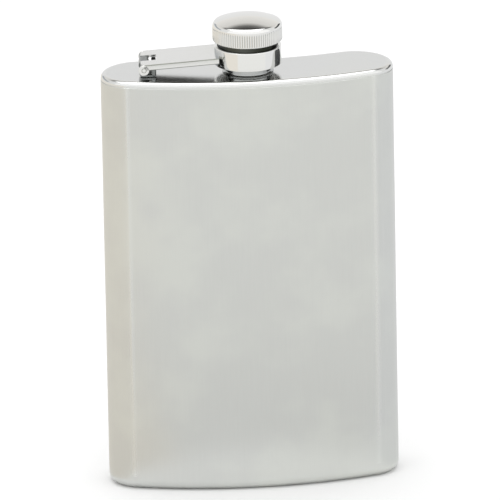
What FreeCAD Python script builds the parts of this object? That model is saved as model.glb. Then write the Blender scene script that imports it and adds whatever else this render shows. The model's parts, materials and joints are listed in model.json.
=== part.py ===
"""Hip flask with a captive screw cap on a hinged arm.

Millimetres, +Z up, origin under the middle of the flask on the surface it stands on.
The flask's convex face looks towards -Y and its hollow face, which lies on the hip, towards +Y.
The arm lies along X, turned a little about the neck, and is hinged on the -X side.
"""
import FreeCAD, Part
import math
import os

Vec = FreeCAD.Vector
UP = Vec(0, 0, 1)

# ---- driving dimensions: body -------------------------------------------------------------
body_width = 95.0            # side to side
body_height = 139.5          # resting face to the top of the shoulder plate
body_thickness = 24.84       # hollow face to convex face, measured at the middle
front_radius = 133.3         # bend of the convex face
back_edge_radius = 12.7      # rounding between the side and the hollow face
side_line_offset = 3.83      # the widest line of the side, behind the neck's axis
wall = 0.7                   # sheet of the body wall
shoulder_sheet = 1.0         # sheet of the shoulder plate
shoulder_rim_height = 1.9    # depth of the shoulder plate's turned rim
shoulder_rim_radius = 1.5    # rounding of that rim
base_sheet = 1.0             # sheet of the base plate
base_rim_height = 4.6        # depth of the base plate's turned rim
base_rim_radius = 3.0        # rounding of that rim

# ---- driving dimensions: neck -------------------------------------------------------------
neck_bore_radius = 6.0
neck_wall = 0.8              # wall at the root of the outer thread
neck_plain_step = 0.7        # the plain ring below the thread, out from that root
neck_foot_reach = 0.8        # the flare at the shoulder plate, out from the plain ring
neck_foot_edge = 0.2         # height of the flare's outer edge
neck_flare_height = 0.9
neck_plain_height = 3.1      # top of the plain ring above the shoulder plate
neck_height = 9.8            # rim of the mouth above the shoulder plate
neck_spigot_depth = 1.2      # how far the spigot shows below the shoulder plate
neck_lip = 0.3               # bevel round the mouth
thread_pitch = 2.0
thread_depth = 0.5
thread_root_width = 1.1
thread_crest_width = 0.5
ridge_root_depth = 0.1       # how far a ridge is sunk into its wall

# ---- driving dimensions: hinge and arm ----------------------------------------------------
hinge_distance = 33.6        # hinge pin to the neck's axis
arm_turn = 5.0               # degrees about the neck, which puts the hinge nearer the hollow face
pin_height = 3.3             # hinge pin above the shoulder plate
pin_radius = 0.65
pin_running_clearance = 0.05
pin_head_spread = 0.15       # the peened head's edge, out from the pin
pin_end_radius = 0.55        # the flat at the middle of the head
pin_head_height = 0.2
ear_radius = 1.7
knuckle_width = 5.2
knuckle_side_clearance = 0.2
foot_length = 5.1
foot_offset = 1.35           # the foot's middle, from the pin towards the cap
foot_width = 10.0
foot_height = 1.0
lip_thickness = 1.5          # the foot's upturned end under the arm
lip_height = 3.8
web_thickness = 2.0
arm_width = 16.2
arm_sheet = 0.8
arm_depth = 1.8              # height of the channel
arm_rise = 1.7               # how much higher the channel's top is at the collar
arm_overhang = 1.1           # the channel's end beyond the pin
arm_end_distance = 9.35      # the flanges' ends beside the collar, to the neck's axis
arm_corner_radius = 3.0
window_reach = 4.0           # the knuckle window's end on the cap's side of the pin

# ---- driving dimensions: collar and cap ---------------------------------------------------
collar_bottom = 2.95         # above the shoulder plate, as all heights below
collar_top = 9.1
collar_wall = 0.5            # round the counterbore
collar_bevel = 0.35
liner_wall = 0.65            # between the inner thread's root and the sleeve
sleeve_wall = 0.8
sleeve_running_clearance = 0.1
sleeve_end_gap = 0.15        # the sleeve's end above the collar's lower face
ring_groove_depth = 0.4
ring_height = 0.8
ring_reach = 0.55            # how far the retaining ring stands out of the sleeve
ring_clearance = 0.15        # round the ring in the collar's counterbore
ring_axial_clearance = 0.1
ring_split_width = 2.0
ring_step = 0.25             # the ring's groove above the sleeve's end
head_gap = 1.7               # the dark gap between collar and head
head_overhang = 0.4          # the head's reach beyond the collar
head_height = 4.7            # lower face to the start of the rounded edge
head_wall = 0.9
head_bevel = 0.45            # at the lower face
head_edge_radius = 1.7       # the rounded edge between the knurl and the dome
dome_sphere_radius = 29.5
knurl_count = 88
knurl_depth = 0.3
thread_play = 0.45           # radial room between the two threads
gasket_height = 1.2
gasket_gap = 0.05            # between the gasket and the neck's rim

# ---- sizes that follow ---------------------------------------------------------------------
half_width = body_width / 2
half_thickness = body_thickness / 2

side_to_hollow = half_thickness - side_line_offset
side_to_front_centre = front_radius - half_thickness - side_line_offset
front_edge_radius = ((front_radius ** 2 - half_width ** 2 - side_to_front_centre ** 2)
                     / (2 * (front_radius - half_width)))
back_centre_x = half_width - back_edge_radius
back_radius = ((back_centre_x ** 2 + side_to_hollow ** 2 - back_edge_radius ** 2)
               / (2 * (back_edge_radius - side_to_hollow)))

body_rear = side_line_offset + back_edge_radius
neck_y = -(body_rear - half_thickness) / 2
deck = body_height

neck_core_radius = neck_bore_radius + neck_wall
neck_plain_radius = neck_core_radius + neck_plain_step
neck_foot_radius = neck_plain_radius + neck_foot_reach
neck_thread_radius = neck_core_radius + thread_depth
insert_thread_radius = neck_thread_radius + thread_play
insert_bore_radius = insert_thread_radius + thread_depth
sleeve_bore_radius = insert_bore_radius + liner_wall
sleeve_radius = sleeve_bore_radius + sleeve_wall
gasket_bottom = neck_height + gasket_gap
gasket_top = gasket_bottom + gasket_height

pin_x = -hinge_distance
pin_z = deck + pin_height
pin_head_radius = pin_radius + pin_head_spread
arm_top_at_pin = pin_height + ear_radius
collar_bore_radius = sleeve_radius + sleeve_running_clearance
sleeve_bottom = collar_bottom + sleeve_end_gap
ring_bottom = sleeve_bottom + ring_step
ring_top = ring_bottom + ring_height
ring_inner_radius = sleeve_radius - ring_groove_depth
ring_outer_radius = sleeve_radius + ring_reach
counterbore_radius = ring_outer_radius + ring_clearance
counterbore_top = ring_top + ring_axial_clearance
collar_radius = counterbore_radius + collar_wall
head_radius = collar_radius + head_overhang
head_bottom = collar_top + head_gap
head_top = head_bottom + head_height
edge_slope = math.asin((head_radius - head_edge_radius) / (dome_sphere_radius - head_edge_radius))
dome_edge_radius = dome_sphere_radius * math.sin(edge_slope)
dome_top = (head_top + head_edge_radius * math.cos(edge_slope)
            + dome_sphere_radius * (1 - math.cos(edge_slope)))
roof = dome_top - head_wall
liner_top = roof - (dome_sphere_radius - math.sqrt(dome_sphere_radius ** 2
                                                   - sleeve_bore_radius ** 2))


def kidney_face(inset):
    """Section of the body, tangent arcs all round, moved inwards by inset."""
    front_centre = Vec(0, front_radius - half_thickness, 0)
    back_centre = Vec(0, half_thickness + back_radius, 0)
    side_front_centre = Vec(half_width - front_edge_radius, side_line_offset, 0)
    side_back_centre = Vec(back_centre_x, side_line_offset, 0)
    to_front = (side_front_centre - front_centre).normalize()
    to_back = (back_centre - side_back_centre).normalize()
    sideways = Vec(1, 0, 0)
    front_r = front_edge_radius - inset
    back_r = back_edge_radius - inset

    front_joint = side_front_centre + to_front * front_r
    front_middle = side_front_centre + (to_front + sideways).normalize() * front_r
    side = Vec(half_width - inset, side_line_offset, 0)
    back_middle = side_back_centre + (to_back + sideways).normalize() * back_r
    back_joint = side_back_centre + to_back * back_r

    def left(point):
        return Vec(-point.x, point.y, 0)

    corners = [
        (left(front_joint), Vec(0, inset - half_thickness, 0), front_joint),
        (front_joint, front_middle, side),
        (side, back_middle, back_joint),
        (back_joint, Vec(0, half_thickness - inset, 0), left(back_joint)),
        (left(back_joint), left(back_middle), left(side)),
        (left(side), left(front_middle), left(front_joint)),
    ]
    edges = [Part.Arc(*points).toShape() for points in corners]
    face = Part.Face(Part.Wire(edges))
    face.translate(Vec(0, neck_y, 0))
    return face


def kidney_prism(inset, bottom, top):
    """The section moved inwards by inset, raised between two heights."""
    face = kidney_face(inset)
    face.translate(UP * bottom)
    return face.extrude(UP * (top - bottom))


def rounded_prism(inset, bottom, top, rounded_height, radius):
    """A kidney prism with the edges at one of its two ends rounded."""
    prism = kidney_prism(inset, bottom, top)
    edges = [edge for edge in prism.Edges
             if abs(edge.BoundBox.ZMin - rounded_height) < 1e-6
             and abs(edge.BoundBox.ZMax - rounded_height) < 1e-6]
    return prism.makeFillet(radius, edges)


def turned(points):
    """Solid of revolution round the neck's axis, from (radius, height over the plate) points."""
    corners = [Vec(radius, 0, deck + height) for radius, height in points]
    wire = Part.makePolygon(corners + corners[:1])
    solid = Part.Face(wire).revolve(Vec(0, 0, 0), UP, 360)
    solid.translate(Vec(0, neck_y, 0))
    return solid


def disc(radius, bottom, top):
    """Upright cylinder on the neck's axis, between two heights over the plate."""
    return Part.makeCylinder(radius, top - bottom, Vec(0, neck_y, deck + bottom))


def tube(inner, outer, bottom, top):
    """Upright tube on the neck's axis."""
    return disc(outer, bottom, top).cut(disc(inner, bottom, top))


def across(radius, half_length):
    """Cylinder along Y on the hinge pin's axis."""
    start = Vec(pin_x, neck_y - half_length, pin_z)
    return Part.makeCylinder(radius, 2 * half_length, start, Vec(0, 1, 0))


def block(x_low, x_high, half_length, bottom, top):
    """Box centred on the hinge in Y, between two heights over the plate."""
    corner = Vec(x_low, neck_y - half_length, deck + bottom)
    return Part.makeBox(x_high - x_low, 2 * half_length, top - bottom, corner)


def turned_with_arm(shape):
    """The shape after the arm's turn about the neck's axis."""
    shape.rotate(Vec(0, neck_y, 0), UP, -arm_turn)
    return shape


def thread_ridge(root_radius, crest_radius, bottom, top):
    """One helical ridge with a trapezoid section, from its root to its crest."""
    helix = Part.makeHelix(thread_pitch, top - bottom, root_radius)
    half_root = thread_root_width / 2
    half_crest = thread_crest_width / 2
    corners = [Vec(root_radius, 0, -half_root), Vec(crest_radius, 0, -half_crest),
               Vec(crest_radius, 0, half_crest), Vec(root_radius, 0, half_root)]
    profile = Part.makePolygon(corners + corners[:1])
    ridge = Part.Wire(helix.Edges).makePipeShell([profile], True, True)
    ridge.translate(Vec(0, neck_y, deck + bottom))
    return ridge


# ---- body ----------------------------------------------------------------------------------
def make_body_wall():
    """Open tube of sheet between the two pressed plates."""
    bottom = base_rim_height
    top = body_height - shoulder_rim_height
    return kidney_prism(0, bottom, top).cut(kidney_prism(wall, bottom, top))


def make_shoulder_plate():
    """Pressed plate with a turned and rounded rim, and a hole for the neck."""
    bottom = body_height - shoulder_rim_height
    plate = rounded_prism(0, bottom, body_height, body_height, shoulder_rim_radius)
    under = body_height - shoulder_sheet
    plate = plate.cut(kidney_prism(wall, bottom, under))
    return plate.cut(disc(neck_core_radius, -shoulder_rim_height, shoulder_rim_height))


def make_base_plate():
    """Pressed plate with a turned and rounded rim, flat underneath."""
    plate = rounded_prism(0, 0, base_rim_height, 0, base_rim_radius)
    inner_radius = max(base_rim_radius - wall, wall)
    return plate.cut(rounded_prism(wall, base_sheet, base_rim_height, base_sheet, inner_radius))


def make_neck():
    """Spout with a flared foot, a plain ring, an outer thread and a spigot."""
    steps = 8
    flare = []
    for step in range(steps + 1):
        turn = math.pi / 2 * step / steps
        radius = neck_foot_radius - neck_foot_reach * math.sin(turn)
        height = neck_foot_edge + (neck_flare_height - neck_foot_edge) * (1 - math.cos(turn))
        flare.append((radius, height))
    spigot_bottom = -shoulder_sheet - neck_spigot_depth
    outline = [(neck_bore_radius, spigot_bottom), (neck_core_radius, spigot_bottom),
               (neck_core_radius, 0), (neck_foot_radius, 0)]
    outline += flare
    outline += [(neck_plain_radius, neck_plain_height - neck_plain_step / 2),
                (neck_core_radius, neck_plain_height),
                (neck_core_radius, neck_height - neck_lip),
                (neck_core_radius - neck_lip, neck_height),
                (neck_bore_radius, neck_height)]
    neck = turned(outline)
    ridge_bottom = neck_plain_height + thread_root_width
    ridge_top = neck_height - neck_lip - thread_root_width
    ridge = thread_ridge(neck_core_radius - ridge_root_depth, neck_thread_radius,
                         ridge_bottom, ridge_top)
    return neck.fuse(ridge).removeSplitter()


def make_hinge_base():
    """Foot with an upturned lip, and a web up to the knuckle round the pin."""
    foot_x = pin_x + foot_offset
    foot = block(foot_x - foot_length / 2, foot_x + foot_length / 2, foot_width / 2,
                 0, foot_height)
    web = block(pin_x - web_thickness / 2, pin_x + web_thickness / 2, knuckle_width / 2,
                foot_height / 2, pin_height)
    lip_end = foot_x + foot_length / 2
    lip = block(lip_end - lip_thickness, lip_end, foot_width / 2, 0, lip_height)
    knuckle = across(ear_radius, knuckle_width / 2)
    base = foot.fuse([web, lip, knuckle]).removeSplitter()
    return turned_with_arm(base.cut(across(pin_radius + pin_running_clearance, knuckle_width)))


# ---- arm -----------------------------------------------------------------------------------
def channel_side(x_low, x_high, lower, upper):
    """Side outline of the channel, between two offsets below its sloping top."""
    rise_per_mm = arm_rise / (hinge_distance - collar_radius)

    def level(x):
        return deck + arm_top_at_pin + rise_per_mm * (x - pin_x)

    corners = [Vec(x_low, 0, level(x_low) - lower), Vec(x_high, 0, level(x_high) - lower),
               Vec(x_high, 0, level(x_high) - upper), Vec(x_low, 0, level(x_low) - upper)]
    return Part.makePolygon(corners + corners[:1])


def channel_bar(x_low, x_high, lower, upper, half_length):
    """Sloping bar of the channel's outline, centred in Y."""
    face = Part.Face(channel_side(x_low, x_high, lower, upper))
    face.translate(Vec(0, neck_y - half_length, 0))
    return face.extrude(Vec(0, 2 * half_length, 0))


def make_arm():
    """Inverted channel with two ears, a knuckle window and an end coped round the collar."""
    x_low = pin_x - arm_overhang
    x_high = -arm_end_distance
    bar = channel_bar(x_low, x_high, arm_depth, 0, arm_width / 2)
    corners = [edge for edge in bar.Edges
               if abs(edge.BoundBox.XMin - x_low) < 1e-6 and abs(edge.BoundBox.XMax - x_low) < 1e-6
               and edge.BoundBox.ZLength > arm_depth / 2]
    bar = bar.makeFillet(arm_corner_radius, corners)
    bar = bar.fuse(across(ear_radius, arm_width / 2)).removeSplitter()
    inside = channel_bar(x_low - arm_overhang, x_high + 1, 3 * arm_depth, arm_sheet,
                         arm_width / 2 - arm_sheet)
    window = block(x_low - arm_overhang, pin_x + window_reach,
                   knuckle_width / 2 + knuckle_side_clearance, 0, 2 * pin_height)
    bar = bar.cut(inside).cut(window)
    bar = bar.cut(disc(collar_radius, 0, collar_top + pin_height))
    return turned_with_arm(bar.cut(across(pin_radius, arm_width)))


def make_collar():
    """Ring that the cap's sleeve turns in, counterbored below for the retaining ring."""
    bevel = collar_bevel
    outline = [(counterbore_radius, collar_bottom), (collar_radius - bevel / 2, collar_bottom),
               (collar_radius, collar_bottom + bevel / 2), (collar_radius, collar_top - bevel),
               (collar_radius - bevel, collar_top), (collar_bore_radius, collar_top),
               (collar_bore_radius, counterbore_top), (counterbore_radius, counterbore_top)]
    return turned(outline)


def make_hinge_pin():
    """Pin with a peened head outside each ear."""
    half_length = arm_width / 2
    pin = across(pin_radius, half_length)
    for side in (-1, 1):
        start = Vec(pin_x, neck_y + side * half_length, pin_z)
        head = Part.makeCone(pin_head_radius, pin_end_radius, pin_head_height, start,
                             Vec(0, side, 0))
        pin = pin.fuse(head)
    return turned_with_arm(pin.removeSplitter())


# ---- cap -----------------------------------------------------------------------------------
def knurl_prism(bottom, top):
    """Star-shaped prism: its corners are the knurl's crests and roots."""
    corners = []
    for step in range(2 * knurl_count):
        angle = math.pi * step / knurl_count
        radius = head_radius if step % 2 == 0 else head_radius - knurl_depth
        corners.append(Vec(radius * math.cos(angle), radius * math.sin(angle), 0))
    face = Part.Face(Part.makePolygon(corners + corners[:1]))
    face.translate(Vec(0, neck_y, deck + bottom))
    return face.extrude(UP * (top - bottom))


def dome(edge_radius, apex):
    """Points of the shallow spherical dome below an apex, from an edge up to the axis."""
    steps = 10
    points = []
    for step in range(steps + 1):
        radius = edge_radius * (1 - step / steps)
        drop = dome_sphere_radius - math.sqrt(dome_sphere_radius ** 2 - radius ** 2)
        points.append((radius, apex - drop))
    return points


def make_cap_shell():
    """Knurled and domed hollow head, in one with its sleeve."""
    outline = [(sleeve_bore_radius, sleeve_bottom), (sleeve_radius, sleeve_bottom),
               (sleeve_radius, ring_bottom), (ring_inner_radius, ring_bottom),
               (ring_inner_radius, ring_top), (sleeve_radius, ring_top),
               (sleeve_radius, head_bottom), (head_radius - head_bevel, head_bottom),
               (head_radius, head_bottom + head_bevel)]
    steps = 8
    for step in range(steps):
        turn = (math.pi / 2 - edge_slope) * step / steps
        outline.append((head_radius - head_edge_radius * (1 - math.cos(turn)),
                        head_top + head_edge_radius * math.sin(turn)))
    outline += dome(dome_edge_radius, dome_top)
    outline += list(reversed(dome(sleeve_bore_radius, roof)))
    return turned(outline).common(knurl_prism(0, 2 * head_top))


def make_cap_insert():
    """Moulded liner: plug under the dome, seat for the gasket and an inner thread."""
    bottom = sleeve_bottom
    outline = [(insert_bore_radius, bottom), (sleeve_bore_radius, bottom),
               (sleeve_bore_radius, liner_top), (0, liner_top), (0, gasket_top),
               (insert_bore_radius, gasket_top)]
    insert = turned(outline)
    ridge_bottom = bottom + thread_root_width
    ridge_top = neck_height - thread_root_width
    ridge = thread_ridge(insert_bore_radius + ridge_root_depth, insert_thread_radius,
                         ridge_bottom, ridge_top)
    return insert.fuse(ridge).removeSplitter()


def make_gasket():
    """Flat seal under the liner's roof."""
    return tube(neck_bore_radius - 1.0, insert_bore_radius, gasket_bottom, gasket_top)


def make_retaining_ring():
    """Split ring in the sleeve's groove."""
    ring = tube(ring_inner_radius, ring_outer_radius, ring_bottom, ring_top)
    split = Part.makeBox(2 * ring_outer_radius, ring_split_width, ring_height,
                         Vec(0, neck_y - ring_split_width / 2, deck + ring_bottom))
    return ring.cut(split)


MAKERS = {
    "body_wall": make_body_wall,
    "shoulder_plate": make_shoulder_plate,
    "base_plate": make_base_plate,
    "neck": make_neck,
    "hinge_base": make_hinge_base,
    "arm": make_arm,
    "collar": make_collar,
    "hinge_pin": make_hinge_pin,
    "cap_shell": make_cap_shell,
    "cap_insert": make_cap_insert,
    "gasket": make_gasket,
    "retaining_ring": make_retaining_ring,
}

os.makedirs("parts", exist_ok=True)
for node, maker in MAKERS.items():
    shape = maker()
    shape.exportStep(f"parts/{node}.step")
    box = shape.BoundBox
    print(f"{node}: solids {len(shape.Solids)}, valid {shape.isValid()}, "
          f"volume {shape.Volume:.1f} mm3, x {box.XMin:.2f}..{box.XMax:.2f}, "
          f"y {box.YMin:.2f}..{box.YMax:.2f}, z {box.ZMin:.2f}..{box.ZMax:.2f}")
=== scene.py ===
"""Looks of a curved steel hip flask with a captive screw cap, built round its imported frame.

Metres throughout, in the frame's own axes: +Z up, the convex face towards -Y, the hinge on the
-X side of the neck. Every surface is a numpy grid; sizes come from the frame's boxes and from
the named fields of each sub-assembly's class.
"""
import sys
import json
import logging
import math
from dataclasses import dataclass, field
from enum import Enum

import bpy
import numpy as np
from mathutils import Matrix, Vector


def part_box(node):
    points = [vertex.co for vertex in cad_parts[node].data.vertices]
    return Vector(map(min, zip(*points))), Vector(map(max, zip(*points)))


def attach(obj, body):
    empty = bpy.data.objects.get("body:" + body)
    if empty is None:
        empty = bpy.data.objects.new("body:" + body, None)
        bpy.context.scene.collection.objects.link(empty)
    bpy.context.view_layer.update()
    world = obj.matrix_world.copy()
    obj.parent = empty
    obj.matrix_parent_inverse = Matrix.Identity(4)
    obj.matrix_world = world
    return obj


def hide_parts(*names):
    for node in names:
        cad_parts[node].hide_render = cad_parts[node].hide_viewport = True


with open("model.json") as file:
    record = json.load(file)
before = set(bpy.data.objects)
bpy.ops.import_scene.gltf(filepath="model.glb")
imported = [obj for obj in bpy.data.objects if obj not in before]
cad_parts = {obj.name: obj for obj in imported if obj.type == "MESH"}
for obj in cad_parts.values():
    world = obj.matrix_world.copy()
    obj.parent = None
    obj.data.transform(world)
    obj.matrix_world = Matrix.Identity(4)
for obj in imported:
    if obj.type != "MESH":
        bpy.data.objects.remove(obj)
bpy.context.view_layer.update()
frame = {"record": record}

MM = 0.001
NEAR = 1e-6                  # two lengths closer than this count as the same
AXIS_HOLE = 0.05 * MM        # radius where a surface of revolution stops short of its axis
log = logging.getLogger("hip_flask")

Profile = list[tuple[float, float]]
Shell = tuple[np.ndarray, list[list[int]]]


# ---- mesh helpers --------------------------------------------------------------------------
@dataclass
class Box:
    """Lowest and highest corner of a frame node at rest."""

    low: np.ndarray
    high: np.ndarray

    @classmethod
    def of(cls, node: str) -> "Box":
        """Reads a node's box from the frame."""
        low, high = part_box(node)
        return cls(np.array(low), np.array(high))

    @property
    def centre(self) -> np.ndarray:
        """Middle of the box."""
        return (self.low + self.high) / 2

    @property
    def size(self) -> np.ndarray:
        """Extent along each axis."""
        return self.high - self.low


def grid_faces(rows: int, columns: int, wrap_rows: bool, wrap_columns: bool) -> np.ndarray:
    """Quads of a grid: face (i, j) joins points (i, j), (i, j+1), (i+1, j+1) and (i+1, j).

    Args:
        rows: Number of point rows.
        columns: Number of points in each row.
        wrap_rows: True joins the last row to the first.
        wrap_columns: True joins each row's last point to its first.

    Returns:
        Array of shape (faces, 4) of indices into the flattened grid.
    """
    i = np.arange(rows if wrap_rows else rows - 1)
    j = np.arange(columns if wrap_columns else columns - 1)
    i, j = (a.ravel() for a in np.meshgrid(i, j, indexing="ij"))
    next_i, next_j = (i + 1) % rows, (j + 1) % columns
    return np.stack([i * columns + j, i * columns + next_j,
                     next_i * columns + next_j, next_i * columns + j], axis=1)


def signed_volume(points: np.ndarray, faces: list[list[int]]) -> float:
    """Sum of the signed tetrahedra from the origin over a fan of triangles in every face."""
    total = 0.0
    for size in {len(face) for face in faces}:
        corners = points[np.array([face for face in faces if len(face) == size])]
        for k in range(1, size - 1):
            cross = np.cross(corners[:, k], corners[:, k + 1])
            total += float(np.einsum("ij,ij->", corners[:, 0], cross)) / 6
    return total


def make_object(name: str, points: np.ndarray, faces: list[list[int]],
                sharp_degrees: float = 35.0) -> bpy.types.Object:
    """Makes a smooth-shaded mesh object.

    Args:
        name: Name of the object.
        points: Array of shape (n, 3) in metres.
        faces: Vertex indices of each face.
        sharp_degrees: Edges that turn more than this stay sharp.

    Returns:
        The new object, at the origin.
    """
    mesh = bpy.data.meshes.new(name)
    mesh.from_pydata(points.tolist(), [], faces)
    mesh.validate()
    mesh.polygons.foreach_set("use_smooth", [True] * len(mesh.polygons))
    mesh.set_sharp_from_angle(angle=math.radians(sharp_degrees))
    mesh.update()
    piece = bpy.data.objects.new(name, mesh)
    bpy.context.scene.collection.objects.link(piece)
    return piece


def shell(rings: np.ndarray, wrap_rings: bool = True) -> Shell:
    """Closed surface through rings of points; open ends are capped with one face each.

    The faces are turned outwards by the sign of the volume that they enclose.

    Args:
        rings: Array of shape (rings, points, 3).
        wrap_rings: True joins the last ring to the first, as round a tube's own section.

    Returns:
        The points and the faces.
    """
    count, columns = rings.shape[:2]
    points = rings.reshape(-1, 3)
    faces = grid_faces(count, columns, wrap_rings, True).tolist()
    if not wrap_rings:
        faces.append(list(range(columns))[::-1])
        last = (count - 1) * columns
        faces.append(list(range(last, last + columns)))
    if signed_volume(points, faces) < 0:
        faces = [face[::-1] for face in faces]
    return points, faces


def sheet_shell(outer: np.ndarray, inner: np.ndarray) -> Shell:
    """Closed surface round a thick sheet, from the grids of its two faces.

    The border walks once round the outer grid and joins it to the inner one.

    Args:
        outer: Array of shape (rows, columns, 3).
        inner: The other face's points, in the same order.

    Returns:
        The points, outer ones first, and the faces.
    """
    rows, columns = outer.shape[:2]
    count = rows * columns
    flat = grid_faces(rows, columns, False, False)
    index = np.arange(count).reshape(rows, columns)
    border = np.concatenate([index[0], index[1:, -1], index[-1, -2::-1], index[-2::-1, 0]])
    edge = np.stack([border[1:], border[:-1], border[:-1] + count, border[1:] + count], axis=1)
    points = np.concatenate([outer.reshape(-1, 3), inner.reshape(-1, 3)])
    faces = np.concatenate([flat, flat[:, ::-1] + count, edge]).tolist()
    if signed_volume(points, faces) < 0:
        faces = [face[::-1] for face in faces]
    return points, faces


def merged(name: str, shells: list[Shell], sharp_degrees: float = 35.0) -> bpy.types.Object:
    """One object from several closed surfaces.

    Args:
        name: Name of the object.
        shells: Points and faces of each surface.
        sharp_degrees: Edges that turn more than this stay sharp.

    Returns:
        The new object.
    """
    points = np.concatenate([part for part, _ in shells])
    faces: list[list[int]] = []
    start = 0
    for part, quads in shells:
        faces += [[start + corner for corner in face] for face in quads]
        start += len(part)
    return make_object(name, points, faces, sharp_degrees)


def loft(name: str, rings: np.ndarray, wrap_rings: bool = True,
         sharp_degrees: float = 35.0) -> bpy.types.Object:
    """One object from one closed surface through rings of points, as shell describes it."""
    return merged(name, [shell(rings, wrap_rings)], sharp_degrees)


def spun(profile: Profile, turns: np.ndarray, axis_xy: np.ndarray) -> np.ndarray:
    """Rings of a surface of revolution: each profile point (radius, height) turns about a line.

    Args:
        profile: Points (radius, height), in metres.
        turns: Angles of the ring's points.
        axis_xy: Where the upright axis stands.

    Returns:
        Array of shape (profile points, angles, 3).
    """
    radius, height = np.array(profile).T
    x = axis_xy[0] + radius[:, None] * np.cos(turns)
    y = axis_xy[1] + radius[:, None] * np.sin(turns)
    z = np.broadcast_to(height[:, None], x.shape)
    return np.stack([x, y, z], axis=2)


def full_turn(count: int) -> np.ndarray:
    """Evenly spaced angles of one whole turn, without the repeated end."""
    return np.linspace(0, 2 * math.pi, count, endpoint=False)


def arc(centre: tuple[float, float], radius: float, start: float, end: float,
        steps: int) -> Profile:
    """Points of a circular arc in a profile's plane.

    Args:
        centre: Centre of the arc.
        radius: Radius of the arc.
        start: First angle in degrees, from the profile's first axis.
        end: Last angle in degrees.
        steps: Number of chords.

    Returns:
        The points from start to end.
    """
    turn = np.radians(np.linspace(start, end, steps + 1))
    return list(zip(centre[0] + radius * np.cos(turn), centre[1] + radius * np.sin(turn)))


def line(start: tuple[float, float], end: tuple[float, float], steps: int) -> Profile:
    """Evenly spaced points along a straight run of a profile, both ends included."""
    share = np.linspace(0, 1, steps + 1)[:, None]
    return [tuple(point) for point in np.array(start) + share * (np.array(end) - start)]


def smooth_step(value: np.ndarray, low: float, high: float) -> np.ndarray:
    """Rises from 0 at low to 1 at high along 3t^2 - 2t^3."""
    share = np.clip((value - low) / (high - low), 0, 1)
    return share * share * (3 - 2 * share)


def paint(piece: bpy.types.Object, name: str, values: np.ndarray) -> None:
    """Stores one number for each point of a piece under an attribute's name."""
    layer = piece.data.attributes.new(name, "FLOAT", "POINT")
    layer.data.foreach_set("value", values.astype(np.float32).ravel())


# ---- shader helpers ------------------------------------------------------------------------
class Nodes:
    """Short way to add and link the nodes of one tree."""

    def __init__(self, tree: bpy.types.NodeTree) -> None:
        """Keeps the tree that the nodes go into."""
        self.tree = tree

    def add(self, kind: str, **inputs: object) -> bpy.types.Node:
        """Adds a node and sets or links its inputs.

        Args:
            kind: The node's type, without the leading ShaderNode.
            inputs: Node properties, and input values or sockets by name, with spaces as _, or
                by place, as in i0.

        Returns:
            The new node.
        """
        node = self.tree.nodes.new("ShaderNode" + kind)
        for name, value in inputs.items():
            if hasattr(node, name) and name not in ("inputs", "outputs"):
                setattr(node, name, value)
            else:
                key = int(name[1:]) if name[0] == "i" and name[1:].isdigit() else name.replace("_", " ")
                self.put(node, key, value)
        return node

    def put(self, node: bpy.types.Node, key: int | str, value: object) -> None:
        """Links a socket to an input, or sets the input's value."""
        socket = node.inputs[key]
        if isinstance(value, bpy.types.NodeSocket):
            self.tree.links.new(value, socket)
        else:
            socket.default_value = value

    def math(self, operation: str, first: object, second: object = 0.0) -> bpy.types.NodeSocket:
        """Adds a Math node and returns its result."""
        return self.add("Math", operation=operation, i0=first, i1=second).outputs[0]

    def group(self, group: bpy.types.NodeTree, **inputs: object) -> bpy.types.Node:
        """Places a node group and sets its inputs by name."""
        node = self.tree.nodes.new("ShaderNodeGroup")
        node.node_tree = group
        for name, value in inputs.items():
            self.put(node, name.replace("_", " "), value)
        return node


def new_group(name: str, inputs: dict[str, object],
              outputs: dict[str, str]) -> tuple[bpy.types.NodeTree, Nodes, bpy.types.Node, bpy.types.Node]:
    """Starts a shader node group with named inputs and outputs.

    Args:
        name: Name of the group.
        inputs: Default value of each input; three numbers make a vector and four a colour.
        outputs: Kind of each output: Float, Color or Vector.

    Returns:
        The tree, its Nodes helper, its input node and its output node.
    """
    tree = bpy.data.node_groups.new(name, "ShaderNodeTree")
    kinds = {1: "Float", 3: "Vector", 4: "Color"}
    for label, value in inputs.items():
        width = len(value) if isinstance(value, tuple) else 1
        socket = tree.interface.new_socket(label, in_out="INPUT",
                                           socket_type="NodeSocket" + kinds[width])
        socket.default_value = value
    for label, kind in outputs.items():
        tree.interface.new_socket(label, in_out="OUTPUT", socket_type="NodeSocket" + kind)
    return tree, Nodes(tree), tree.nodes.new("NodeGroupInput"), tree.nodes.new("NodeGroupOutput")


def make_grain_group() -> bpy.types.NodeTree:
    """Fine scratches of a brushed or turned surface, drawn by noise on a stretched position.

    Two noises, one finer than the other, are averaged. The result lightens or darkens the
    colour, spreads the roughness and gives a height.
    """
    tree, nodes, given, made = new_group(
        "scratch_grain",
        {"Position": (0.0, 0.0, 0.0), "Colour": (0.8, 0.8, 0.8, 1.0), "Contrast": 0.05,
         "Roughness": 0.3, "Spread": 0.08},
        {"Colour": "Color", "Roughness": "Float", "Height": "Float"})
    source = given.outputs
    coarse = nodes.add("TexNoise", Vector=source["Position"], Scale=1.0, Detail=4.0, Roughness=0.65)
    fine = nodes.add("TexNoise", Vector=source["Position"], Scale=3.7, Detail=2.0, Roughness=0.5)
    both = nodes.math("MULTIPLY", nodes.math("ADD", coarse.outputs[0], fine.outputs[0]), 0.5)
    signed = nodes.math("SUBTRACT", both, 0.5)
    shade = nodes.math("ADD", nodes.math("MULTIPLY", signed, source["Contrast"]), 1.0)
    colour = nodes.add("VectorMath", operation="SCALE", i0=source["Colour"], Scale=shade)
    rough = nodes.math("ADD", nodes.math("MULTIPLY", signed, source["Spread"]), source["Roughness"])
    nodes.put(made, "Colour", colour.outputs[0])
    nodes.put(made, "Roughness", rough)
    nodes.put(made, "Height", both)
    return tree


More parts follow.
